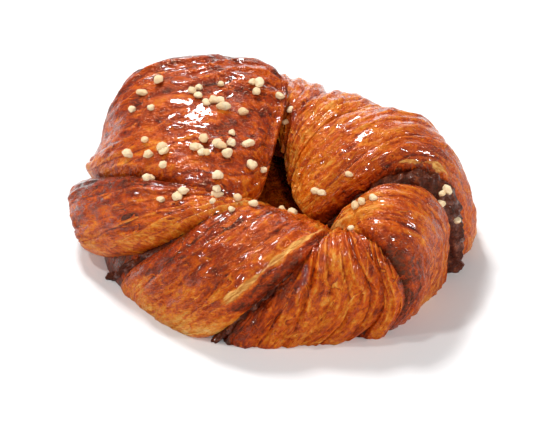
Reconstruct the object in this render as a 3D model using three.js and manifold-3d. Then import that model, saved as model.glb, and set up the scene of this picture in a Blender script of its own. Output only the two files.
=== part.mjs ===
// Cinnamon twist: a flat bun knotted from one strip of laminated dough. Ten folds of
// the strip run out of a small hollow near the middle, over the top and down to the
// base. Dark cinnamon filling shows in four of the seams between them, and sugar nibs
// lie on top. Millimetres, +X right, +Y to the back, +Z up, the base at z = 0.
import * as THREE from 'three';
import { mergeVertices } from 'three/addons/utils/BufferGeometryUtils.js';
import Module from 'manifold-3d';

const wasm = await Module();
wasm.setup();

// ---- Driving dimensions ----

// The folds, counterclockwise from the big flap at the back left. Each begins at its
// own seam and ends at the next fold's seam. A seam has four stations: in the hollow,
// at the crest, at the shoulder and at the foot. crown is how far the fold swells over
// the line between its seams, at the same four stations. lift raises the fold's first
// and last edge over its neighbour, and inset draws them in. ribs are the ridges of
// the dough's layers: how many, how deep, and how far they slant on their way out. roll
// is a rolled lip across the fold: its place along, its height and its width along.
const FOLDS = [
  { name: 'flap', seam: [[5, 28, 36], [-8, 38, 36], [-34, 37, 32], [-43, 29, 8]],
    crown: [6, 9, 9, 6], square: 4, blunt: 6, ribs: [5, 0.5, 0.5],
    roll: [0.06, 1.6, 0.04] },
  { name: 'wing', seam: [[-4, -4, 18], [-13, -13, 25], [-33, 1, 23], [-51, 22, 10]],
    crown: [2, 4, 8, 13], lift: [2.5, 0], inset: [-1, [-1, -1, 1, 6]], square: 3,
    blunt: 7, ribs: [4, 0.5, 0.3] },
  { name: 'long', seam: [[4, -7, 18], [-11, -18, 26], [-27, -19, 16], [-43, -8, -3]],
    crown: [4, 6, 9, 7], lift: [0, 2.5], ribs: [4, 0.5, 0.3] },
  { name: 'fan', seam: [[19, -21, 20], [8, -31, 20], [-3, -35, 12], [-17, -37, -3]],
    crown: [4, 5, 6, 6], lift: [-2, 1], square: 3, ribs: [6, 1.4, 0.3],
    segments: [32, 6, 13] },
  { name: 'sliver', seam: [[21, -22, 20], [25, -30, 23], [29, -33, 12], [21, -35, -3]],
    crown: [2, 3, 4, 3], lift: [-1, -1], ribs: [3, 0.6, 0], segments: [12, 6, 14] },
  { name: 'knob', seam: [[22, -21, 20], [29, -31, 23], [34, -34, 12], [28, -34, -3]],
    crown: [6, 8, 5, 2.5], inset: [-1, [2.2, 2.6, 3, 3]], ribs: [3, 0.5, 0.3] },
  { name: 'shoulder', seam: [[12, -15, 18], [33, -8, 29], [45, -5, 21], [50, -6, -4]],
    crown: [6, 8, 11, 11], inset: [2.2, -1], ribs: [4, 0.6, 0.2] },
  { name: 'back_right', seam: [[5, 2, 20], [14, 10, 32], [31, 20, 29], [48, 29, -4]],
    crown: [3, 4, 6, 7], ribs: [4, 0.8, 0.2], segments: [14, 6, 12] },
  { name: 'back', seam: [[5, 10, 24], [9, 19, 34], [16, 33, 26], [18, 44, -4]],
    crown: [3, 4, 7, 7], ribs: [3, 0.6, 0.2], segments: [12, 6, 12] },
  { name: 'back_left', seam: [[4, 16, 26], [1, 34, 32], [-7, 43, 22], [-12, 46, -4]],
    crown: [2, 4, 6, 7], ribs: [3, 0.6, 0.3], segments: [12, 6, 12] },
];
const PLAIN_FOLD = {
  square: 2.5, blunt: 5, lift: [0, 0], inset: [-1, -1], roll: [0, 0, 1],
  segments: [16, 6, 14],
};
// Inside the bun a fold is nearly as wide as on top, and reaches this far to its root.
const INSIDE_SQUARE = 6;
const ROOT_REACH = 0.85;

// The heart of the bun under the folds: half length, half width and height, and how
// round its edge and its flat top are.
const HEART = { centre: [1, 4, 0], size: [47, 39, 14], edge: 0.6, top: 0.7, segments: [12, 12, 8] };

// The filling in a seam: half width across it and how far it stands over the seam's
// line, at the four stations, and its shift towards the fold before.
const VEINS = [
  { fold: 'long', width: [1, 1.4, 1.8, 2.4], rise: [0.5, 1.5, 2, 4.5], shift: 0.5 },
  { fold: 'fan', width: [1, 1.5, 1.7, 1.4], rise: [0.5, 2, 2.2, 2], shift: 0 },
  { fold: 'sliver', width: [0.6, 0.8, 1.2, 1.2], rise: [0.5, 0.5, 1, 2], shift: 0 },
  { fold: 'shoulder', width: [1, 2.8, 4, 2.2], rise: [0.5, 2.4, 4.2, 3], shift: 0 },
];
const VEIN_SEGMENTS = [6, 4, 14];
const VEIN_BLUNT = 4;
const VEIN_ROUND = 0.7;
const VEIN_REACH = 0.95;
// The layer inside that joins the veins: a flat ring under the folds.
const LAYER = { centre: [7, -2, 9], reach: [28, 28], thick: [4, 1.5], segments: [6, 24] };
const FILLING_GAP = 0.35;

// Sugar nibs lie as they fell: patches on the plan, each with its centre, reach and count.
// They are on the flap, along its front edge, in the next seam, at the hollow's edge, on
// the long fold, on the shoulder, behind the hollow, on the knob and on the thick filling.
const NIB_PATCHES = [
  { centre: [-20, 12], reach: [21, 17], count: 28 },
  { centre: [-27, -3], reach: [20, 4], count: 10 },
  { centre: [-20, -13], reach: [12, 4], count: 6 },
  { centre: [-3, -3], reach: [4, 3], count: 4 },
  { centre: [4, -13], reach: [3, 2], count: 4 },
  { centre: [-8, -17], reach: [8, 4], count: 4 },
  { centre: [18, -9], reach: [9, 5], count: 4 },
  { centre: [4, 18], reach: [4, 4], count: 3 },
  { centre: [25, -24], reach: [5, 6], count: 4 },
  { centre: [44, -8], reach: [6, 3], count: 5 },
];
// A nib is a rough grain between two radii, up to this much longer than it is wide and
// this flat, and sunk by this share of its radius.
const NIB_RADIUS = [0.8, 1.4];
const NIB_LONGEST = 1.5;
const NIB_FLAT = 0.85;
const NIB_SUNK = 0.4;
const DROP_HEIGHT = 80;

// The draws that scatter the nibs: a fixed start, and a multiplier and step on 32 bits.
const FIRST_DRAW = 20;
const DRAW_TIMES = 1664525;
const DRAW_PLUS = 1013904223;
const DRAW_RANGE = 2 ** 32;

// The slab that stands for the table, cut off under the bun: its side and depth.
const TABLE = [200, 40];
// Cuts leave no edge shorter than this, and points this near each other are one.
const FINENESS = 0.08;
const SAME_POINT = 1e-4;
const TINY = 1e-9;

// ---- Materials ----

const crust = new THREE.MeshStandardMaterial({ color: 0xb4561a, roughness: 0.35, metalness: 0 });
const cinnamon = new THREE.MeshStandardMaterial({ color: 0x3a160c, roughness: 0.3, metalness: 0 });

// ---- Curves along a fold ----

// A smooth number through evenly spaced stations, for t from 0 to 1.
function along(stations, t) {
  const last = stations.length - 1;
  const place = Math.min(Math.max(t, 0), 1) * last;
  const i = Math.min(Math.floor(place), last - 1);
  const f = place - i;
  const b = stations[i];
  const c = stations[i + 1];
  const a = i > 0 ? stations[i - 1] : 2 * b - c;
  const d = i + 2 > last ? 2 * c - b : stations[i + 2];
  const bend = (2 * a - 5 * b + 4 * c - d) * f * f + (3 * b - a - 3 * c + d) * f * f * f;
  return b + 0.5 * ((c - a) * f + bend);
}

// A size that is given once, or at each station.
function at(size, t) {
  return Array.isArray(size) ? along(size, t) : size;
}

// A point of a seam.
function seamPoint(seam, t) {
  const axes = [0, 1, 2].map((axis) => along(seam.map((station) => station[axis]), t));
  return new THREE.Vector3(...axes);
}

// The frame of a strip between two edges: its middle, the way across it towards the
// first edge, the way out of its top, and its width.
function stripFrame(first, second, t) {
  const step = 0.001;
  const before = Math.max(t - step, 0);
  const after = Math.min(t + step, 1);
  const a = seamPoint(first, t);
  const b = seamPoint(second, t);
  const ahead = seamPoint(first, after).add(seamPoint(second, after));
  ahead.sub(seamPoint(first, before)).sub(seamPoint(second, before)).normalize();
  const across = a.clone().sub(b);
  const width = across.length();
  across.normalize();
  const out = across.clone().cross(ahead).normalize();
  return { middle: a.add(b).multiplyScalar(0.5), across, out, width };
}

// The root of a seam: the point inside the bun that the seam arches over.
function rootOf(seam) {
  return seamPoint(seam, 0).add(seamPoint(seam, 1)).multiplyScalar(0.5);
}

// A closed skin: shape(t, turn) gives the point t of the way along and turn radians
// round, on a globe whose poles are the two ends. The first half turn is the top, and
// the second the inside, which may have fewer faces.
function skin([top, inside, length], shape) {
  const around = top + inside;
  const topShare = top / around;
  const globe = new THREE.SphereGeometry(1, around, length);
  globe.deleteAttribute('normal');
  globe.deleteAttribute('uv');
  const places = globe.attributes.position;
  for (let i = 0; i < places.count; i += 1) {
    const t = (1 - places.getY(i)) / 2;
    const angle = Math.atan2(-places.getZ(i), places.getX(i));
    const part = (angle / (2 * Math.PI) + 1) % 1;
    const onTop = part < topShare;
    const turn = onTop ? part / topShare : 1 + (part - topShare) / (1 - topShare);
    const point = shape(t, turn * Math.PI);
    places.setXYZ(i, point.x, point.y, point.z);
  }
  return mergeVertices(globe, SAME_POINT);
}

// A power that keeps its sign, for squarish rounds.
function squarish(value, power) {
  return Math.abs(value) < TINY ? 0 : Math.sign(value) * Math.abs(value) ** power;
}

// How full the section is at t: the ends close bluntly.
function fullness(t, blunt) {
  return Math.max(1 - Math.abs(2 * t - 1) ** blunt, 0) ** (1 / blunt);
}

// ---- Solids ----

function toSolid(geometry) {
  const vertProperties = new Float32Array(geometry.attributes.position.array);
  const triVerts = new Uint32Array(geometry.index.array);
  const mesh = new wasm.Mesh({ numProp: 3, vertProperties, triVerts, tolerance: FINENESS });
  return new wasm.Manifold(mesh);
}

function toGeometry(solid) {
  const mesh = solid.getMesh();
  const geometry = new THREE.BufferGeometry();
  geometry.setAttribute('position', new THREE.BufferAttribute(mesh.vertProperties, 3));
  geometry.setIndex(new THREE.BufferAttribute(mesh.triVerts, 1));
  return geometry;
}

function join(solids) {
  return solids.reduce((whole, solid) => whole.add(solid));
}

// The largest body alone: scraps are dropped, and a sealed hollow is filled.
function wholeBody(solid) {
  const bodies = solid.decompose();
  return bodies.reduce((largest, body) => (body.volume() > largest.volume() ? body : largest));
}

// One fold of the strip, between two seams: swollen on top, and below it closing
// towards the roots of its seams, so that it meets its neighbours all the way in.
function foldSolid(fold, next) {
  const { square, blunt, lift, inset, crown, ribs, roll, segments } = { ...PLAIN_FOLD, ...fold };
  const [ribCount, ribDepth, slant] = ribs;
  const [rollPlace, rollHeight, rollWidth] = roll;
  const root = rootOf(fold.seam).add(rootOf(next.seam)).multiplyScalar(0.5);
  const rootAcross = rootOf(fold.seam).sub(rootOf(next.seam)).multiplyScalar(0.5);
  const shape = (t, turn) => {
    const { middle, across, out, width } = stripFrame(fold.seam, next.seam, t);
    const full = fullness(t, blunt);
    const onTop = Math.sin(turn) > TINY;
    const power = 2 / (onTop ? square : INSIDE_SQUARE);
    const u = squarish(Math.cos(turn), power);
    const v = squarish(Math.sin(turn), power);
    const side = u > 0 ? 0 : 1;
    const point = middle.addScaledVector(across, (width / 2 - at(inset[side], t)) * u * full);
    const raise = lift[side] * u * u * Math.sqrt(Math.sin(Math.PI * t)) * full;
    if (!onTop) {
      const inwards = root.clone().addScaledVector(rootAcross, u * full).sub(point);
      return point.addScaledVector(out, raise * (1 + v)).addScaledVector(inwards, -v * ROOT_REACH * full);
    }
    const phase = Math.PI * ribCount * (u / 2 + slant * t);
    const groove = ribDepth * (1 - Math.sqrt(Math.abs(Math.sin(phase))));
    const lip = rollHeight * Math.exp(-(((t - rollPlace) / rollWidth) ** 2));
    return point.addScaledVector(out, (along(crown, t) - groove + lip) * v * full + raise);
  };
  return toSolid(skin(segments, shape));
}

function heartSolid() {
  const shape = (t, turn) => {
    const level = Math.cos(Math.PI * t);
    const reach = Math.sin(Math.PI * t) ** HEART.edge;
    return new THREE.Vector3(
      HEART.centre[0] + HEART.size[0] * reach * Math.cos(turn),
      HEART.centre[1] + HEART.size[1] * reach * Math.sin(turn),
      HEART.centre[2] + HEART.size[2] * squarish(level, HEART.top),
    );
  };
  return toSolid(skin(HEART.segments, shape));
}

// The filling in one seam, made a little thicker all round where it cuts its bed.
function veinSolid(vein, grow) {
  const place = FOLDS.findIndex((fold) => fold.name === vein.fold);
  const [before, here, after] = FOLDS.slice(place - 1, place + 2).map((fold) => fold.seam);
  const root = rootOf(here);
  const shape = (t, turn) => {
    const { across, out } = stripFrame(before, after, t);
    const full = fullness(t, VEIN_BLUNT);
    const u = squarish(Math.cos(turn), VEIN_ROUND);
    const v = squarish(Math.sin(turn), VEIN_ROUND);
    const point = seamPoint(here, t);
    const inwards = root.clone().sub(point);
    point.addScaledVector(across, vein.shift + (along(vein.width, t) + grow) * u * full);
    if (v > 0) return point.addScaledVector(out, (along(vein.rise, t) + grow) * v * full);
    return point.addScaledVector(inwards, -v * VEIN_REACH * full);
  };
  return toSolid(skin(VEIN_SEGMENTS, shape));
}

function layerSolid(grow) {
  const [x, y, z] = LAYER.centre;
  const [wide, thick] = LAYER.thick;
  const [around, length] = LAYER.segments;
  const ring = new THREE.TorusGeometry(1, 0.5, around, length);
  ring.deleteAttribute('normal');
  ring.deleteAttribute('uv');
  const places = ring.attributes.position;
  for (let i = 0; i < places.count; i += 1) {
    const turn = Math.atan2(places.getY(i), places.getX(i));
    const from = (Math.hypot(places.getX(i), places.getY(i)) - 1) * 2;
    const up = places.getZ(i) * 2;
    places.setXYZ(
      i,
      x + (LAYER.reach[0] + (wide + grow) * from) * Math.cos(turn),
      y + (LAYER.reach[1] + (wide + grow) * from) * Math.sin(turn),
      z + (thick + grow) * up,
    );
  }
  return toSolid(mergeVertices(ring, 1e-4));
}

function belowTable() {
  const [side, depth] = TABLE;
  const slab = new THREE.BoxGeometry(side, side, depth);
  slab.deleteAttribute('normal');
  slab.deleteAttribute('uv');
  slab.translate(0, 0, -depth / 2);
  return toSolid(mergeVertices(slab, 1e-4));
}

// ---- Sugar nibs ----

// Repeatable draws between two limits.
let drawn = FIRST_DRAW;
function draw(from, to) {
  drawn = (drawn * DRAW_TIMES + DRAW_PLUS) % DRAW_RANGE;
  return from + (to - from) * (drawn / DRAW_RANGE);
}

// Where something dropped at x, y comes to lie, or nothing where it would miss.
function landing(meshes, x, y) {
  const start = new THREE.Vector3(x, y, DROP_HEIGHT);
  const ray = new THREE.Raycaster(start, new THREE.Vector3(0, 0, -1));
  return ray.intersectObjects(meshes)[0];
}

function nibSolid(place, radius, stretch, turn) {
  const nib = new THREE.IcosahedronGeometry(radius, 0);
  nib.deleteAttribute('normal');
  nib.deleteAttribute('uv');
  nib.scale(stretch, 1, NIB_FLAT);
  nib.rotateZ(turn);
  nib.translate(place.x, place.y, place.z + radius * (1 - NIB_SUNK) * NIB_FLAT);
  return toSolid(mergeVertices(nib, 1e-4));
}

// Drops the nibs and returns those that lie on each mesh, clear of the other one.
function sprinkle(dough, filling, doughBed) {
  const meshes = [dough, filling].map((solid) => new THREE.Mesh(toGeometry(solid)));
  const onDough = [];
  const onFilling = [];
  for (const { centre, reach, count } of NIB_PATCHES) {
    for (let i = 0; i < count; i += 1) {
      const way = draw(0, 2 * Math.PI);
      const far = Math.sqrt(draw(0, 1));
      const radius = draw(...NIB_RADIUS);
      const stretch = draw(1, NIB_LONGEST);
      const turn = draw(0, Math.PI);
      const x = centre[0] + reach[0] * far * Math.cos(way);
      const y = centre[1] + reach[1] * far * Math.sin(way);
      const hit = landing(meshes, x, y);
      if (!hit) continue;
      const nib = nibSolid(hit.point, radius, stretch, turn);
      const lies = hit.object === meshes[0] ? onDough : onFilling;
      const other = lies === onDough ? doughBed : dough;
      if (nib.intersect(other).volume() === 0) lies.push(nib);
    }
  }
  return { onDough, onFilling };
}

// ---- The bun ----

const table = belowTable();
const folds = FOLDS.map((fold, i) => foldSolid(fold, FOLDS[(i + 1) % FOLDS.length]));
const fillingWith = (grow) => join([layerSolid(grow), ...VEINS.map((vein) => veinSolid(vein, grow))]);
const bed = fillingWith(FILLING_GAP);
const bareDough = wholeBody(join([heartSolid(), ...folds]).subtract(table).subtract(bed));
const bareFilling = wholeBody(fillingWith(0).subtract(table));
const nibs = sprinkle(bareDough, bareFilling, bed);
const dough = wholeBody(join([bareDough, ...nibs.onDough]));
const filling = wholeBody(join([bareFilling, ...nibs.onFilling]));

const group = new THREE.Group();
function addMesh(name, solid, material) {
  const mesh = new THREE.Mesh(toGeometry(solid), material);
  mesh.name = name;
  group.add(mesh);
  return mesh;
}
addMesh('dough', dough, crust);
addMesh('filling', filling, cinnamon);

const box = new THREE.Box3().setFromObject(group);
group.position.set(-(box.min.x + box.max.x) / 2, -(box.min.y + box.max.y) / 2, -box.min.z);

export default group;
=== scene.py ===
# Cinnamon twist: a flat glazed bun knotted from one strip of laminated dough, with dark
# cinnamon filling in its seams and sugar nibs on top. Sizes are in millimetres, and each
# finished mesh goes into the frame in metres.
import math

import bmesh
import bpy
from mathutils import Matrix, Vector, noise
from mathutils.bvhtree import BVHTree


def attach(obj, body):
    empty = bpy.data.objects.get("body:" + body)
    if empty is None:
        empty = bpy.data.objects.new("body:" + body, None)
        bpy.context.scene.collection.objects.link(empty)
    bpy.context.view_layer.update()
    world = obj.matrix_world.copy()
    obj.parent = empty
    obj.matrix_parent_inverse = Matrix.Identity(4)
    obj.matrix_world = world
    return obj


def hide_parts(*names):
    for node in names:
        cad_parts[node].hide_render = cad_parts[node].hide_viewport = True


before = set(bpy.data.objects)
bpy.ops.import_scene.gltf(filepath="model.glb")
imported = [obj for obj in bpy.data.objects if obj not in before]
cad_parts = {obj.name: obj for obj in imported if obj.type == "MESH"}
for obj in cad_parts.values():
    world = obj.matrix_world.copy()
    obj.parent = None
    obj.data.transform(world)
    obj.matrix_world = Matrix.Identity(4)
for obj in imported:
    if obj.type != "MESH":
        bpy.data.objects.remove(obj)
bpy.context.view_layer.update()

scene = bpy.context.scene
MM = 0.001

# ---- The view ----
# The bun is seen from the front and 35 degrees above, from about 60 cm through a long
# lens. The aim is the point of the bun in the middle of the picture.
AIM = Vector((1.1, -4.4, 11.7)) * MM
HEIGHT_ANGLE = math.radians(35)
DISTANCE = 0.62
LENS = 149.3

back = Vector((0, -math.cos(HEIGHT_ANGLE), math.sin(HEIGHT_ANGLE)))
camera_data = bpy.data.cameras.new("camera")
camera_data.sensor_width = 36
camera_data.lens = LENS
camera = bpy.data.objects.new("camera", camera_data)
camera.location = AIM + back * DISTANCE
camera.rotation_mode = "QUATERNION"
camera.rotation_quaternion = (-back).to_track_quat("-Z", "Y")
scene.collection.objects.link(camera)
scene.camera = camera
scene.view_settings.view_transform = "Standard"

# ---- The dough ----
# Ten folds of one strip of butter-layered dough run out of a small hollow near the
# middle, over the top and down to the base. They are pressed together in the knot and
# baked into one piece, with the edges of the layers showing as ridges and torn flakes.

# Each fold begins at its own seam and ends at the next fold's seam. A seam has four
# stations: in the hollow, at the crest, at the shoulder and at the foot.
#   crown   how far the fold swells over the line between its seams
#   square  how flat its top is across, blunt how square its two ends are
#   lift    how far each of its edges is raised, and inset how far it is drawn in
#   roll    a rolled lip: its place along the fold, its height and its width
#   ribs    its ridges: how many, how deep, and how far they slant on their way out
#   brown   how dark the crust is at the stations; edges how much darker each edge is, part bake, part painted shade
#   bare    a cut strip of pale crumb: from and to across the fold, from and to along it
#   pleats  how strongly the layers show
#   faces   across the top, across the inside, and along the fold
FOLDS = [
    {"name": "flap", "seam": [[5, 28, 36], [-8, 38, 36], [-34, 37, 32], [-43, 29, 8]],
     "crown": [6, 9, 9, 6], "square": 4, "blunt": 6,
     "roll": [0.06, 1.6, 0.04],
     "ribs": [5, 0.5, 0.5], "brown": [0.6, 0.68, 0.64, 0.5], "edges": [0.08, -0.16],
     "pleats": 0.95, "faces": [122, 14, 100]},
    {"name": "wing", "seam": [[-4, -4, 18], [-13, -13, 25], [-33, 1, 23], [-51, 22, 10]],
     "crown": [2, 4, 8, 13], "lift": [2.5, 0], "inset": [-1, [-1, -1, 1, 6]],
     "square": 3, "blunt": 7, "ribs": [4, 0.5, 0.3],
     "brown": [0.5, 0.52, 0.6, 0.52], "edges": [0.2, -0.25], "pleats": 1,
     "faces": [92, 10, 92]},
    {"name": "long", "seam": [[4, -7, 18], [-11, -18, 26], [-27, -19, 16], [-43, -8, -3]],
     "crown": [4, 6, 9, 7], "lift": [0, 2.5], "ribs": [4, 0.5, 0.3],
     "bare": [-0.77, -0.63, 0.1, 0.75],
     "brown": [0.55, 0.6, 0.62, 0.3], "edges": [0.1, -0.2], "pleats": 0.7,
     "faces": [94, 12, 100]},
    {"name": "fan", "seam": [[19, -21, 20], [8, -31, 20], [-3, -35, 12], [-17, -37, -3]],
     "crown": [4, 5, 6, 6], "lift": [-2, 1], "square": 3, "ribs": [6, 1.4, 0.3],
     "brown": [0.58, 0.5, 0.47, 0.4], "edges": [0.4, 0.05], "pleats": 1.2,
     "faces": [124, 8, 78]},
    {"name": "sliver", "seam": [[21, -22, 20], [25, -30, 23], [29, -33, 12], [21, -35, -3]],
     "crown": [2, 3, 4, 3], "lift": [-1, -1], "ribs": [3, 0.6, 0],
     "brown": [0.5, 0.48, 0.46, 0.42], "edges": [0.4, 0.25], "pleats": 1.3,
     "faces": [56, 8, 66]},
    {"name": "knob", "seam": [[22, -21, 20], [29, -31, 23], [34, -34, 12], [28, -34, -3]],
     "crown": [6, 8, 5, 2.5], "inset": [-1, [2.2, 2.6, 3, 3]], "ribs": [3, 0.5, 0.3],
     "bare": [-0.2, 0.9, -0.2, 0.13],
     "brown": [0.2, 0.52, 0.54, 0.32], "edges": [0.25, 0.1], "pleats": 0.7,
     "faces": [106, 10, 90]},
    {"name": "shoulder", "seam": [[12, -15, 18], [33, -8, 29], [45, -5, 21], [50, -6, -4]],
     "crown": [6, 8, 11, 11], "inset": [2.2, -1], "ribs": [4, 0.6, 0.2],
     "bare": [0.84, 0.94, 0.35, 0.7],
     "brown": [0.38, 0.54, 0.54, 0.38], "edges": [0.05, -0.1], "pleats": 0.7,
     "faces": [108, 10, 100]},
    {"name": "back_right", "seam": [[5, 2, 20], [14, 10, 32], [31, 20, 29], [48, 29, -4]],
     "crown": [3, 4, 6, 7], "ribs": [4, 0.8, 0.2], "brown": [0.4, 0.45, 0.5, 0.42],
     "edges": [0, 0.1], "pleats": 0.8, "faces": [80, 10, 86]},
    {"name": "back", "seam": [[5, 10, 24], [9, 19, 34], [16, 33, 26], [18, 44, -4]],
     "crown": [3, 4, 7, 7], "ribs": [3, 0.6, 0.2], "brown": [0.4, 0.48, 0.5, 0.42],
     "edges": [0.1, 0.1], "pleats": 0.75, "faces": [70, 10, 78]},
    {"name": "back_left", "seam": [[4, 16, 26], [1, 34, 32], [-7, 43, 22], [-12, 46, -4]],
     "crown": [2, 4, 6, 7], "ribs": [3, 0.6, 0.3], "brown": [0.4, 0.5, 0.55, 0.42],
     "edges": [0.1, 0.1], "pleats": 0.75, "faces": [70, 10, 78]},
]
PLAIN_FOLD = {"square": 2.5, "blunt": 5, "lift": [0, 0], "inset": [-1, -1], "roll": [0, 0, 1],
              "bare": None}
INSIDE_SQUARE = 6
# How far the inside of a fold closes towards its root, of the whole way.
ROOT_REACH = 0.85
# The low middle that the folds sit on. It is darker at the left, left of dark_from.
HEART = {"centre": [1, 4, 0], "size": [47, 39, 14], "faces": [48, 32],
         "brown": 0.66, "dark": 0.85, "dark_from": -36}
# The shift that puts the middle of the bun's box at the origin, as in the solids.
STAND = Vector((-0.26, -4.41, 0))
# The fine relief of a fold's top, in millimetres deep.
LAYERS_DEEP = 0.22
TORN_DEEP = 0.3
RIDGES_DEEP = 0.7
CRINKLES_DEEP = 0.4
# The fine ridges beside each rib, and where along the fold they fade out.
RIDGES_A_RIB = 1.7
RIDGE_END = 0.92
RIDGE_FADE = 0.25
# How much paler the crust is in the grooves and on the fine ridges, how much painted shade darkens
# the creases, and how much darker the edges are, partly from the filling in the seams and partly
# as painted shade.
GROOVE_PALER = 0.1
CREASE_FROM = 0.62
CREASE_FADE = 0.2
CREASE_PAINTED_SHADE = 0.32
RIM_FILLING_AND_PAINTED_SHADE = 0.2
RIDGE_PALER = 0.2
# A cut strip: how fast its sides and ends fade, its rise, and the dark step under it.
CUT_FADE = 0.05
CUT_END = 0.08
CUT_RISE = 0.4
STEP_DEEP = 0.7
STEP_DARKER = 0.28


def along(stations, t):
    """A smooth number through evenly spaced stations, for t from 0 to 1."""
    last = len(stations) - 1
    place = min(max(t, 0), 1) * last
    i = min(int(place), last - 1)
    f = place - i
    b = stations[i]
    c = stations[i + 1]
    a = stations[i - 1] if i > 0 else 2 * b - c
    d = 2 * c - b if i + 2 > last else stations[i + 2]
    bend = (2 * a - 5 * b + 4 * c - d) * f * f + (3 * b - a - 3 * c + d) * f * f * f
    return b + 0.5 * ((c - a) * f + bend)


def at(size, t):
    """A size that is given once, or at each station."""
    return along(size, t) if isinstance(size, list) else size


def seam_point(seam, t):
    return Vector([along([station[axis] for station in seam], t) for axis in range(3)])


def seam_length(seam):
    steps = [seam_point(seam, i / 12) for i in range(13)]
    return sum((b - a).length for a, b in zip(steps, steps[1:]))


def strip_frame(first, second, t):
    """A strip between two edges: its middle, the ways across it and out of it, its width."""
    before = max(t - 0.001, 0)
    after = min(t + 0.001, 1)
    a = seam_point(first, t)
    b = seam_point(second, t)
    ahead = seam_point(first, after) + seam_point(second, after)
    ahead -= seam_point(first, before) + seam_point(second, before)
    across = (a - b).normalized()
    return (a + b) / 2, across, across.cross(ahead.normalized()).normalized(), (a - b).length


def root_of(seam):
    return (seam_point(seam, 0) + seam_point(seam, 1)) / 2


def squarish(value, power):
    return 0 if abs(value) < 1e-9 else math.copysign(abs(value) ** power, value)


def fullness(t, blunt):
    return max(1 - abs(2 * t - 1) ** blunt, 0) ** (1 / blunt)


def blunt_skin(faces):
    """A globe whose poles are a fold's ends. Its points are (vertex, share along, turn)."""
    top, inside, length = faces
    skin = bmesh.new()
    bmesh.ops.create_uvsphere(skin, u_segments=top + inside, v_segments=length, radius=1)
    share = top / (top + inside)
    places = []
    for vert in skin.verts:
        angle = math.atan2(vert.co.y, vert.co.x) / math.tau
        part = round(angle * (top + inside)) / (top + inside) % 1
        turn = part / share if part < share else 1 + (part - share) / (1 - share)
        places.append((vert, (1 - vert.co.z) / 2, turn * math.pi))
    return skin, places


def finished_mesh(name, skin):
    """Turns the skin's faces out and makes it an object, still in millimetres."""
    bmesh.ops.recalc_face_normals(skin, faces=skin.faces)
    if skin.calc_volume(signed=True) < 0:
        bmesh.ops.reverse_faces(skin, faces=skin.faces)
    mesh = bpy.data.meshes.new(name)
    skin.to_mesh(mesh)
    skin.free()
    piece = bpy.data.objects.new(name, mesh)
    scene.collection.objects.link(piece)
    return piece


def ragged(place, size, seed):
    """Even noise from -1 to 1 with lumps of the given size."""
    return noise.noise(place / size + Vector((seed * 17.3, seed * 7.1, seed * 3.7)))


def terrace(height):
    """Steps of height 1 with steep, short risers, as the torn edges of thin layers."""
    step = math.floor(height)
    rise = height - step
    return step + min(max((rise - 0.8) / 0.2, 0), 1)


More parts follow.
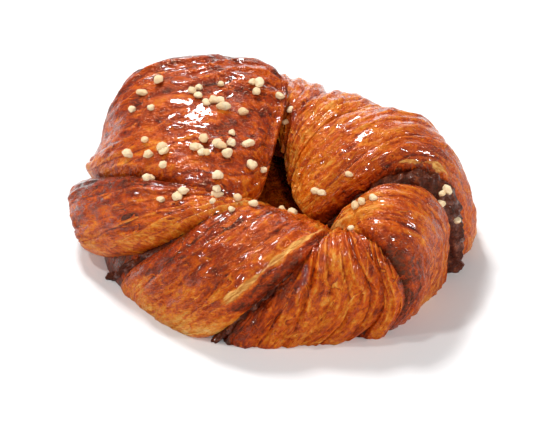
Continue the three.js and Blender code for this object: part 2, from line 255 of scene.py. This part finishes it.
def fold_piece(number):
    fold = {**PLAIN_FOLD, **FOLDS[number]}
    seam = fold["seam"]
    next_seam = FOLDS[(number + 1) % len(FOLDS)]["seam"]
    rib_count, rib_depth, slant = fold["ribs"]
    roll_place, roll_height, roll_width = fold["roll"]
    root = (root_of(seam) + root_of(next_seam)) / 2
    root_across = (root_of(seam) - root_of(next_seam)) / 2
    length = (seam_length(seam) + seam_length(next_seam)) / 2
    skin, places = blunt_skin(fold["faces"])
    strip = skin.loops.layers.uv.new("strip")
    brown = skin.loops.layers.float.new("brown")
    bare = skin.loops.layers.float.new("bare")
    frames = {}
    marks = {}
    for vert, t, turn in places:
        if t not in frames:
            frames[t] = strip_frame(seam, next_seam, t), fullness(t, fold["blunt"])
        (middle, across, out, width), full = frames[t]
        on_top = math.sin(turn) > 1e-9
        power = 2 / (fold["square"] if on_top else INSIDE_SQUARE)
        u = squarish(math.cos(turn), power)
        v = squarish(math.sin(turn), power)
        side = 0 if u > 0 else 1
        point = middle + across * ((width / 2 - at(fold["inset"][side], t)) * u * full)
        raised = fold["lift"][side] * u * u * math.sqrt(max(math.sin(math.pi * t), 0)) * full
        lane = u * width / 2
        way = t * length
        flat = Vector((lane, way, number * 40))
        groove = 0
        ridge = 0
        if on_top:
            wobble = 0.25 * ragged(flat, 14, 1) + 0.1 * ragged(flat, 5, 2)
            phase = math.pi * (rib_count * (u / 2 + slant * t) + wobble * fold["pleats"])
            groove = 1 - math.sqrt(abs(math.sin(phase)))
            streak = Vector((lane / 1.6, way / 9, number * 5))
            layers = ragged(streak, 1, 3) * 0.6 + ragged(streak, 0.5, 4) * 0.3
            torn = terrace(2.2 * ragged(Vector((lane / 5, way / 14, number)), 1, 5) + layers)
            blister = ragged(point, 9, 6) * 0.5 + ragged(point, 4, 7) * 0.25
            crinkle = CRINKLES_DEEP * ragged(Vector((lane / 1.2, way / 2.6, number)), 1, 11)
            ridge_phase = RIDGES_A_RIB * phase + 2 * ragged(flat, 9, 12)
            ridge = (1 - abs(math.sin(ridge_phase))) ** 2
            ridge *= min(max((RIDGE_END - t) / RIDGE_FADE, 0), 1)
            relief = LAYERS_DEEP * layers + TORN_DEEP * torn + RIDGES_DEEP * ridge
            relief = relief * fold["pleats"] + blister + crinkle
            roll = roll_height * math.exp(-((t - roll_place) / roll_width) ** 2)
            height = (along(fold["crown"], t) - groove * rib_depth + roll) * v * full + raised
            height += relief * min(v * full * 2, 1)
            point += out * height
        else:
            inwards = root + root_across * (u * full) - point
            point += out * (raised * (1 + v)) + inwards * (-v * ROOT_REACH * full)
        crease = min(max((groove - CREASE_FROM) / CREASE_FADE, 0), 1) * v
        # The edges column darkens each edge, partly for the bake and partly as painted shade in
        # the deeper seams.
        tone = along(fold["brown"], t) + fold["edges"][side] * abs(u) ** 2
        # Painted shade darkens the creases between the ribs, and the grooves and ridges turn
        # paler.
        tone += CREASE_PAINTED_SHADE * crease - GROOVE_PALER * groove
        # The very edges darken, partly for the filling in the seams and partly as painted shade
        # between the folds.
        tone += RIM_FILLING_AND_PAINTED_SHADE * abs(u) ** 10 - RIDGE_PALER * (ridge - 0.3) * fold["pleats"] * v
        cut = 0
        if fold["bare"] and on_top:
            low, high, first, last = fold["bare"]
            edge = Vector((way, 0, number))
            tear = 0.06 * ragged(edge, 4, 13) + 0.02 * ragged(edge, 1, 14)
            low += tear
            high -= tear
            shown = min(max(min(t - first, last - t) / CUT_END, 0), 1)
            cut = min(max(min(u - low, high - u) / CUT_FADE, 0), 1) * shown
            under = min(max((low - u if low < 0 else u - high) / CUT_FADE, 0), 1)
            tone += STEP_DARKER * under * min(shown * 3, 1)
            point += out * (CUT_RISE * cut - STEP_DEEP * under * shown) * v
        marks[vert] = (lane, way + number * 200), tone, cut
        vert.co = point
    for face in skin.faces:
        for corner in face.loops:
            corner[strip].uv, corner[brown], corner[bare] = marks[corner.vert]
    return finished_mesh(fold["name"], skin)


def heart_piece():
    around, levels = HEART["faces"]
    skin, places = blunt_skin([around // 2, around // 2, levels])
    strip = skin.loops.layers.uv.new("strip")
    brown = skin.loops.layers.float.new("brown")
    skin.loops.layers.float.new("bare")
    for vert, t, turn in places:
        reach = math.sin(math.pi * t) ** 0.6 if 0 < t < 1 else 0
        vert.co = Vector((
            HEART["centre"][0] + HEART["size"][0] * reach * math.cos(turn),
            HEART["centre"][1] + HEART["size"][1] * reach * math.sin(turn),
            HEART["centre"][2] + HEART["size"][2] * squarish(math.cos(math.pi * t), 0.7),
        ))
    for face in skin.faces:
        for corner in face.loops:
            corner[strip].uv = corner.vert.co.xy
            at_left = corner.vert.co.x < HEART["dark_from"]
            corner[brown] = HEART["dark"] if at_left else HEART["brown"]
    return finished_mesh("heart", skin)


def joined(piece, others, how):
    """Joins the others to a piece, or cuts them out of it, and takes them away."""
    for other in others:
        step = piece.modifiers.new(other.name, "BOOLEAN")
        step.object = other
        step.operation = how
        step.solver = "MANIFOLD"
    shaped = piece.evaluated_get(bpy.context.evaluated_depsgraph_get())
    mesh = bpy.data.meshes.new_from_object(shaped)
    piece.modifiers.clear()
    piece.data = mesh
    for other in others:
        bpy.data.objects.remove(other)
    return piece


def drop_crumbs(piece):
    """Takes away the specks that joining can leave: every loose part but the largest."""
    skin = bmesh.new()
    skin.from_mesh(piece.data)
    left = set(skin.verts)
    parts = []
    while left:
        part = [left.pop()]
        for vert in part:
            for edge in vert.link_edges:
                other = edge.other_vert(vert)
                if other in left:
                    left.remove(other)
                    part.append(other)
        parts.append(part)
    parts.sort(key=len)
    for part in parts[:-1]:
        bmesh.ops.delete(skin, geom=part, context="VERTS")
    skin.to_mesh(piece.data)
    skin.free()


def table_block():
    block = bmesh.new()
    bmesh.ops.create_cube(block, size=200)
    bmesh.ops.translate(block, verts=block.verts, vec=(0, 0, -100))
    return finished_mesh("table", block)


dough = joined(heart_piece(), [fold_piece(number) for number in range(len(FOLDS))], "UNION")
joined(dough, [table_block()], "DIFFERENCE")
drop_crumbs(dough)

# How far each point of the crust faces up, which is where the brushed glaze lies.
steepness = [normal.vector.z for normal in dough.data.vertex_normals]
upward = dough.data.attributes.new("upward", "FLOAT", "CORNER")
upward.data.foreach_set("value", [steepness[loop.vertex_index] for loop in dough.data.loops])


class Finish:
    """A value or colour on its way through a material. Sums of finishes add their Math nodes."""

    def __init__(self, tree, socket=None):
        self.tree = tree
        self.socket = socket

    def node(self, kind, settings, sockets, output=0):
        made = self.tree.nodes.new(kind)
        for name, value in settings.items():
            if name != "stops":
                setattr(made, name, value)
                continue
            stops = made.color_ramp.elements
            stops[0].position = value[0][0]
            stops[-1].position = value[-1][0]
            for place, _ in value[1:-1]:
                stops.new(place)
            for stop, (_, colour) in zip(stops, value):
                stop.color = colour
        for name, value in sockets.items():
            if isinstance(value, Finish):
                self.tree.links.new(value.socket, made.inputs[name])
            else:
                made.inputs[name].default_value = value
        return Finish(self.tree, made.outputs[output] if made.outputs else None)

    def sum(self, operation, first, second):
        return self.node("ShaderNodeMath", {"operation": operation}, {0: first, 1: second})

    def __add__(self, other):
        return self.sum("ADD", self, other)

    def __sub__(self, other):
        return self.sum("SUBTRACT", self, other)

    def __rsub__(self, other):
        return self.sum("SUBTRACT", other, self)

    def __mul__(self, other):
        return self.sum("MULTIPLY", self, other)

    __radd__ = __add__
    __rmul__ = __mul__


def colour(shade):
    """A colour from its six-figure screen shade."""
    parts = [int(shade[i:i + 2], 16) / 255 for i in (0, 2, 4)]
    return (*[((part + 0.055) / 1.055) ** 2.4 for part in parts], 1)


def new_material(name):
    material = bpy.data.materials.new(name)
    material.use_nodes = True
    material.node_tree.nodes.clear()
    return material, Finish(material.node_tree)


def grains(place, size, detail=2, roughness=0.5, distortion=0):
    """Even noise from 0 to 1, in lumps of this size in the place's units."""
    sockets = {"Vector": place, "Scale": 1 / size, "Detail": detail}
    sockets.update({"Roughness": roughness, "Distortion": distortion})
    return place.node("ShaderNodeTexNoise", {}, sockets)


def stretched(place, across, length):
    """The place with lumps this long across the strip and along it."""
    sockets = {"Vector": place, "Scale": (1 / across, 1 / length, 1)}
    return place.node("ShaderNodeMapping", {}, sockets)


def ramped(value, low, high):
    """0 where the value is under low and 1 where it is over high, smooth between."""
    sockets = {"Value": value, "From Min": low, "From Max": high}
    settings = {"interpolation_type": "SMOOTHSTEP"}
    return value.node("ShaderNodeMapRange", settings, sockets)


def blended(factor, first, second):
    """A colour between two, by a factor from 0 to 1."""
    sockets = {0: factor, 6: first, 7: second}
    return factor.node("ShaderNodeMix", {"data_type": "RGBA"}, sockets, 2)


def mark(finish, name):
    """A number that the mesh carries under this name."""
    return finish.node("ShaderNodeAttribute", {"attribute_name": name}, {}, 2)


# The crust: from the pale crumb of the cut layers through amber to a dark red-brown bake.
BAKE = [
    (0.0, colour("f2c47c")), (0.2, colour("eba54c")), (0.38, colour("e07c1c")),
    (0.55, colour("c85006")), (0.72, colour("9c2e04")), (0.88, colour("6a1b03")),
    (1.0, colour("420e02")),
]
CRUMB = colour("f4b866")
CRUMB_SHADE = colour("c47830")

crust, start = new_material("glazed_crust")
skin_place = start.node("ShaderNodeTexCoord", {}, {}, 3)
strip_place = start.node("ShaderNodeUVMap", {"uv_map": "strip"}, {})
brown = mark(start, "brown")
bare = mark(start, "bare")
patches = grains(skin_place, 9 * MM, 3, 0.6)
blots = grains(stretched(strip_place, 2.8, 4.5), 1, 3, 0.6, 1.2)
specks = grains(skin_place, 1.1 * MM, 3, 0.6)
streaks = grains(stretched(strip_place, 1.1, 4), 1, 3, 0.6, 0.8)
fine_streaks = grains(stretched(strip_place, 0.5, 3), 1, 2, 0.5, 0.5)
sheets = grains(stretched(strip_place, 5, 18), 1, 2, 0.5, 0.8) * 7
edge_of_sheet = sheets.sum("FRACT", sheets, 0)
torn_edge = ramped(edge_of_sheet, 0.8, 0.98) * ramped(patches, 0.4, 0.6)
# A painted shadow darkens the crust just past each torn sheet edge, under the sheet above it.
painted_shadow_under_edge = (1 - ramped(edge_of_sheet, 0.0, 0.1)) * ramped(patches, 0.4, 0.6)
tone = brown + 0.03 + (patches - 0.5) * 0.6 + (blots - 0.5) * 0.75
tone = tone + (streaks - 0.5) * 0.25
brushed = ramped(mark(start, "upward") + (patches - 0.5) * 0.4, 0.05, 0.65)
tone = tone + (specks - 0.5) * (0.75 - brushed * 0.4) - torn_edge * 0.2 + painted_shadow_under_edge * 0.2
baked = tone.node("ShaderNodeValToRGB", {"stops": BAKE}, {"Fac": tone})
crumb = blended(ramped(fine_streaks, 0.35, 0.65), CRUMB_SHADE, CRUMB)
ragged_bare = ramped(bare + (streaks - 0.5) * 1.1 + (specks - 0.5) * 0.7, 0.25, 0.8)
skin_colour = blended(ragged_bare, baked, crumb)
wet = ramped(blots + (specks - 0.5) * 0.7, 0.4, 0.56) * brushed * (1 - ragged_bare)
roughness = 0.38 - wet * 0.23 + (specks - 0.5) * 0.15 + ragged_bare * 0.2
wrinkled = grains(stretched(strip_place, 1.0, 2.6), 1, 2, 0.5, 1.0) - 0.5
wrinkles = wrinkled.sum("ABSOLUTE", wrinkled, 0)
crinkles = grains(skin_place, 0.7 * MM, 2, 0.55)
height = streaks * 0.45 + fine_streaks * 0.2 + crinkles * 0.24 + edge_of_sheet * 0.2
height = height + blots * 0.8 + wrinkles * 1.1
bumps = start.node("ShaderNodeBump", {}, {"Strength": 1.0, "Distance": MM, "Height": height})
shader = start.node("ShaderNodeBsdfPrincipled", {}, {
    "Base Color": skin_colour, "Roughness": roughness, "Normal": bumps, "Coat Weight": wet * 0.8,
    "Coat Roughness": 0.07, "Coat IOR": 1.5, "IOR": 1.5, "Specular Tint": (1.0, 0.58, 0.28, 1),
    "Subsurface Weight": 0.12, "Subsurface Radius": (1.0, 0.35, 0.12), "Subsurface Scale": 0.002,
})
start.node("ShaderNodeOutputMaterial", {}, {"Surface": shader})


def place_piece(piece, material, slot, *nodes):
    """Stands the finished piece in the frame, in metres, and gives it its finish and its body."""
    piece.data.transform(Matrix.Translation(STAND))
    piece.data.transform(Matrix.Scale(MM, 4))
    piece.data.polygons.foreach_set("use_smooth", [True] * len(piece.data.polygons))
    piece.data.materials.clear()
    piece.data.materials.append(material)
    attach(piece, "root")
    if nodes:
        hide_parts(*nodes)


# ---- The filling ----
# Dark cinnamon paste that the strip was spread with. It stands out of four of the seams,
# thickest at the right, and its layers meet in one ring inside the bun.

# A vein's half width across its seam and how far it stands over the seam's line, at the
# four stations, and its shift towards the fold before.
VEINS = [
    {"fold": "long", "width": [1, 1.4, 1.8, 2.4], "rise": [0.5, 1.5, 2, 4.5], "shift": 0.5},
    {"fold": "fan", "width": [1, 1.5, 1.7, 1.4], "rise": [0.5, 2, 2.2, 2], "shift": 0},
    {"fold": "sliver", "width": [0.6, 0.8, 1.2, 1.2], "rise": [0.5, 0.5, 1, 2], "shift": 0},
    {"fold": "shoulder", "width": [1, 2.8, 4, 2.2], "rise": [0.5, 2.4, 4.2, 3], "shift": 0},
]
VEIN_FACES = [48, 24, 110]
VEIN_BLUNT = 4
VEIN_ROUND = 0.7
VEIN_REACH = 0.95
# The flat ring that joins the veins inside, and its faces round the profile and round the ring.
LAYER = {"centre": (7, -2, 9), "reach": 28, "thick": (4, 1.5), "faces": (16, 64)}
# How high the paste's lumps are, and how wide the coarse and the fine ones are.
LUMPS = 1.6
LUMP_SIZES = (2.2, 0.9)


def vein_piece(vein):
    number = [fold["name"] for fold in FOLDS].index(vein["fold"])
    before, here, after = [FOLDS[number + i]["seam"] for i in (-1, 0, 1)]
    root = root_of(here)
    skin, places = blunt_skin(VEIN_FACES)
    for vert, t, turn in places:
        _, across, out, _ = strip_frame(before, after, t)
        full = fullness(t, VEIN_BLUNT)
        u = squarish(math.cos(turn), VEIN_ROUND)
        v = squarish(math.sin(turn), VEIN_ROUND)
        point = seam_point(here, t)
        inwards = root - point
        point += across * (vein["shift"] + along(vein["width"], t) * u * full)
        if v > 0:
            lump = ragged(point, LUMP_SIZES[0], 8) * LUMPS
            lump += ragged(point, LUMP_SIZES[1], 9) * LUMPS / 2
            point += out * (along(vein["rise"], t) * v * full + lump * min(v * full * 3, 1))
        else:
            point += inwards * (-v * VEIN_REACH * full)
        vert.co = point
    return finished_mesh("vein", skin)


def layer_piece():
    """The flat ring inside: a round profile spun about the middle."""
    wide, thick = LAYER["thick"]
    profile_faces, ring_faces = LAYER["faces"]
    centre = Vector(LAYER["centre"])
    ring = bmesh.new()
    profile = bmesh.ops.create_circle(ring, segments=profile_faces, radius=1)["verts"]
    for vert in profile:
        x = centre.x + LAYER["reach"] + wide * vert.co.x
        vert.co = (x, centre.y, centre.z + thick * vert.co.y)
    edges = list(ring.edges)
    bmesh.ops.spin(ring, geom=profile + edges, cent=centre, axis=(0, 0, 1), angle=math.tau,
                   steps=ring_faces, use_merge=True)
    return finished_mesh("layer", ring)


filling = joined(layer_piece(), [vein_piece(vein) for vein in VEINS], "UNION")
joined(filling, [table_block()], "DIFFERENCE")

PASTE = [(0.34, colour("220602")), (0.52, colour("4e1607")), (0.72, colour("96481e"))]

paste, start = new_material("cinnamon_paste")
paste_place = start.node("ShaderNodeTexCoord", {}, {}, 3)
lumps = grains(paste_place, 2.5 * MM, 3, 0.6)
grit = grains(paste_place, 0.6 * MM, 3, 0.6)
paste_tone = lumps * 0.6 + grit * 0.4
paste_colour = start.node("ShaderNodeValToRGB", {"stops": PASTE}, {"Fac": paste_tone})
paste_height = lumps * 0.8 + grit * 0.35
paste_relief = {"Strength": 1.0, "Distance": MM, "Height": paste_height}
paste_bumps = start.node("ShaderNodeBump", {}, paste_relief)
paste_shader = start.node("ShaderNodeBsdfPrincipled", {}, {
    "Base Color": paste_colour, "Roughness": 0.3 + grit * 0.3, "Normal": paste_bumps,
    "Coat Weight": ramped(lumps, 0.45, 0.6) * 0.8, "Coat Roughness": 0.06, "Coat IOR": 1.4,
    "IOR": 1.4, "Specular Tint": (1.0, 0.6, 0.4, 1),
})
start.node("ShaderNodeOutputMaterial", {}, {"Surface": paste_shader})

# ---- The sugar nibs ----
# Grains of pressed pearl sugar, strewn on the glaze before baking. They are rough, cream
# white and a little toasted, and lie half sunk in the glaze where they fell.

NIB_PATCHES = [
    {"centre": [-20, 12], "reach": [21, 17], "count": 28},
    {"centre": [-27, -3], "reach": [20, 4], "count": 10},
    {"centre": [-20, -13], "reach": [12, 4], "count": 6},
    {"centre": [-3, -3], "reach": [4, 3], "count": 4},
    {"centre": [4, -13], "reach": [3, 2], "count": 4},
    {"centre": [-8, -17], "reach": [8, 4], "count": 4},
    {"centre": [18, -9], "reach": [9, 5], "count": 4},
    {"centre": [4, 18], "reach": [4, 4], "count": 3},
    {"centre": [25, -24], "reach": [5, 6], "count": 4},
    {"centre": [44, -8], "reach": [6, 3], "count": 5},
]
NIB_RADIUS = [0.8, 1.4]
NIB_LONGEST = 1.5
NIB_FLAT = 0.85
NIB_SUNK = 0.4
# Each grain is cut flat from this many sides, at this share of its radius and a little more.
NIB_CUTS = 9
NIB_CUT = 0.72
NIB_CUT_MORE = 0.2
NIB_ROUGH = 0.16
NIB_OVER = 1.03
DROP_HEIGHT = 80
FIRST_DRAW = 20
DRAW_TIMES = 1664525
DRAW_PLUS = 1013904223
DRAW_RANGE = 2 ** 32
drawn = FIRST_DRAW


def draw(low, high):
    """A repeatable draw between two limits."""
    global drawn
    drawn = (drawn * DRAW_TIMES + DRAW_PLUS) % DRAW_RANGE
    return low + (high - low) * drawn / DRAW_RANGE


def surface_of(piece):
    return BVHTree.FromPolygons(
        [vert.co for vert in piece.data.vertices], [face.vertices for face in piece.data.polygons])


def add_nib(nibs, centre, radius, stretch, turn, number):
    """A rough grain: a small ball cut flat from all sides, its toast and its foot marked."""
    toast = nibs.verts.layers.float["toast"]
    foot = nibs.verts.layers.float["foot"]
    grain = bmesh.ops.create_icosphere(nibs, subdivisions=3, radius=1)["verts"]
    cuts = []
    for i in range(NIB_CUTS):
        depth = NIB_CUT + NIB_CUT_MORE * abs(noise.noise(Vector((number, i, 0.5))))
        cuts.append((noise.random_unit_vector(size=3), depth))
    for vert in grain:
        place = vert.co.copy()
        for way, depth in cuts:
            place -= way * max(place.dot(way) - depth, 0)
        place *= 1 + NIB_ROUGH * noise.noise(place * 2.2 + Vector((number * 3.1, 0, 0)))
        place = Vector((place.x * stretch, place.y, place.z * NIB_FLAT)) * radius * NIB_OVER
        place.rotate(Matrix.Rotation(turn, 3, "Z"))
        vert[toast] = 0.5 + 0.5 * noise.noise(Vector((number * 1.7, 4.2, 0)))
        vert[foot] = min(max(0.5 - place.z / radius, 0), 1)
        vert.co = centre + place


noise.seed_set(FIRST_DRAW)
nibs = bmesh.new()
nibs.verts.layers.float.new("toast")
nibs.verts.layers.float.new("foot")
surfaces = [surface_of(dough), surface_of(filling)]
number = 0
for patch in NIB_PATCHES:
    for _ in range(patch["count"]):
        way = draw(0, 2 * math.pi)
        far = math.sqrt(draw(0, 1))
        radius = draw(*NIB_RADIUS)
        stretch = draw(1, NIB_LONGEST)
        turn = draw(0, math.pi)
        x = patch["centre"][0] + patch["reach"][0] * far * math.cos(way)
        y = patch["centre"][1] + patch["reach"][1] * far * math.sin(way)
        drop = Vector((x, y, DROP_HEIGHT))
        hits = [surface.ray_cast(drop, Vector((0, 0, -1))) for surface in surfaces]
        heights = [hit[0].z if hit[0] else -1 for hit in hits]
        if max(heights) < 0:
            continue
        centre = Vector((x, y, max(heights) + radius * (1 - NIB_SUNK) * NIB_FLAT))
        other = surfaces[1 if heights[0] > heights[1] else 0]
        if (other.find_nearest(centre)[0] - centre).length < radius:
            continue
        number += 1
        add_nib(nibs, centre, radius, stretch, turn, number)
sugar_nibs = finished_mesh("sugar_nibs", nibs)

sugar, start = new_material("pearl_sugar")
sugar_place = start.node("ShaderNodeTexCoord", {}, {}, 3)
crystals = grains(sugar_place, 0.5 * MM, 3, 0.6)
toasted = mark(start, "toast") * 0.7 + crystals * 0.3
sugar_colour = blended(ramped(toasted, 0.3, 0.8), colour("f4dcb4"), colour("e4be8a"))
glazed_foot = ramped(mark(start, "foot") + (crystals - 0.5) * 0.5, 0.65, 1.1)
sugar_colour = blended(glazed_foot, sugar_colour, colour("b4712c"))
sugar_relief = {"Strength": 0.8, "Distance": MM, "Height": crystals * 0.25}
sugar_bumps = start.node("ShaderNodeBump", {}, sugar_relief)
sugar_shader = start.node("ShaderNodeBsdfPrincipled", {}, {
    "Base Color": sugar_colour, "Roughness": 0.5 + crystals * 0.2, "Normal": sugar_bumps,
    "Subsurface Weight": 0.25, "Subsurface Radius": (1.0, 0.8, 0.5), "Subsurface Scale": 0.001,
})
start.node("ShaderNodeOutputMaterial", {}, {"Surface": sugar_shader})

dough.name = "dough_folds"
filling.name = "cinnamon_filling"
place_piece(dough, crust, "crust", "dough")
place_piece(filling, paste, "cinnamon_filling", "filling")
place_piece(sugar_nibs, sugar, "sugar_nibs")

# ---- The studio ----
# A plain white table in a pale room, as for a catalogue picture. The main light is above
# and behind, a wide low one fills in from the back, and four small ones give the glints.
floor_mesh = bmesh.new()
bmesh.ops.create_grid(floor_mesh, x_segments=1, y_segments=1, size=3)
floor = finished_mesh("table_top", floor_mesh)
white, start = new_material("white_table")
table_place = start.node("ShaderNodeTexCoord", {}, {}, 3)
table_grain = grains(table_place, 0.4, 2)
table_colour = blended(table_grain, (0.86, 0.86, 0.86, 1), (0.9, 0.9, 0.9, 1))
table_finish = {"Base Color": table_colour, "Roughness": 0.7}
table_shader = start.node("ShaderNodeBsdfPrincipled", {}, table_finish)
start.node("ShaderNodeOutputMaterial", {}, {"Surface": table_shader})
floor.data.materials.append(white)

# Each light's place and size in metres, and its power in watts. All point at the origin.
LIGHTS = [
    ("main_light", (-0.25, 0.6, 0.95), (0.22, 0.22), 10.5),
    ("top_light", (-0.45, -0.05, 0.85), (0.08, 0.08), 2.0),
    ("left_light", (-0.8, -0.34, 0.48), (0.07, 0.07), 1.5),
    ("right_light", (0.85, -0.3, 0.4), (0.08, 0.18), 3.0),
    ("front_light", (0.15, -0.82, 0.56), (0.07, 0.07), 2.2),
    ("back_light", (0.1, 1.0, 0.32), (0.6, 0.36), 2.2),
]
for name, place, size, power in LIGHTS:
    lamp = bpy.data.lights.new(name, "AREA")
    lamp.shape = "RECTANGLE"
    lamp.size, lamp.size_y = size
    lamp.energy = power
    light = bpy.data.objects.new(name, lamp)
    light.location = place
    light.rotation_euler = (-light.location).to_track_quat("-Z", "Y").to_euler()
    scene.collection.objects.link(light)
world = bpy.data.worlds.new("white_room")
world.use_nodes = True
world.node_tree.nodes["Background"].inputs["Color"].default_value = (1, 1, 1, 1)
world.node_tree.nodes["Background"].inputs["Strength"].default_value = 0.22
scene.world = world
